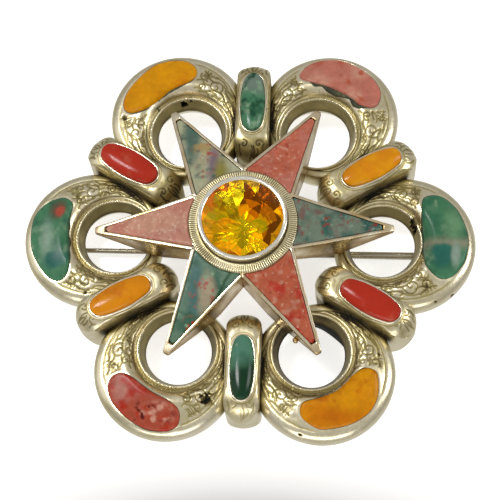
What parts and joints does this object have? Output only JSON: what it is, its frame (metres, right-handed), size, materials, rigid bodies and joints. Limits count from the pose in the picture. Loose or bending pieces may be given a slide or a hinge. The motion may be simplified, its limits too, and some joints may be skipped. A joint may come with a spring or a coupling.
{
  "type": "agate brooch",
  "caption": "Round silver brooch of linked open rings under a star, set with agate and jasper inlays, oval cabochons and a facetted centre stone, with a pin on the back",
  "frame": {"origin": "the brooch's centre, on the surface that its back lies on", "axes": "+Z out of the brooch's front, +X along the pin from its catch to its hinge, +Y to the brooch's top"},
  "size_m": [0.062, 0.0562, 0.0161],
  "materials": {
    "silver": "warm aged silver, polished on the high places, dark in the engraving",
    "pin_metal": "drawn wire, dull",
    "citrine": "facetted and polished",
    "agate_orange": "polished orange agate",
    "jasper_green": "polished dark green jasper with red and pale flecks",
    "jasper_pink": "polished pink jasper",
    "jasper_red": "polished red jasper",
    "jasper_grey": "polished grey-green mottled jasper"
  },
  "bodies": {
    "brooch": {"ring_frame": "silver", "star_setting": "silver", "ring_stone_right": "jasper_green", "ring_stone_upper_right": "jasper_pink", "ring_stone_upper_left": "agate_orange", "ring_stone_left": "jasper_green", "ring_stone_lower_left": "jasper_pink", "ring_stone_lower_right": "agate_orange", "star_stone_right": "jasper_green", "star_stone_upper_right": "jasper_red", "star_stone_upper_left": "jasper_grey", "star_stone_left": "jasper_pink", "star_stone_lower_left": "jasper_green", "star_stone_lower_right": "jasper_red", "strap_stone_right_high": "agate_orange", "strap_stone_top": "jasper_green", "strap_stone_left_high": "jasper_red", "strap_stone_left_low": "agate_orange", "strap_stone_bottom": "jasper_green", "strap_stone_right_low": "jasper_red", "citrine": "citrine", "hinge_rivet": "pin_metal"},
    "pin": {"pin_stem": "pin_metal"}
  },
  "joints": [
    {"name": "pin_hinge", "type": "hinge", "parent": "brooch", "child": "pin", "pos_m": [0.0266, 0, 0.0012], "axis": [0, -1, 0], "range_deg": [0, 100]}
  ]
}
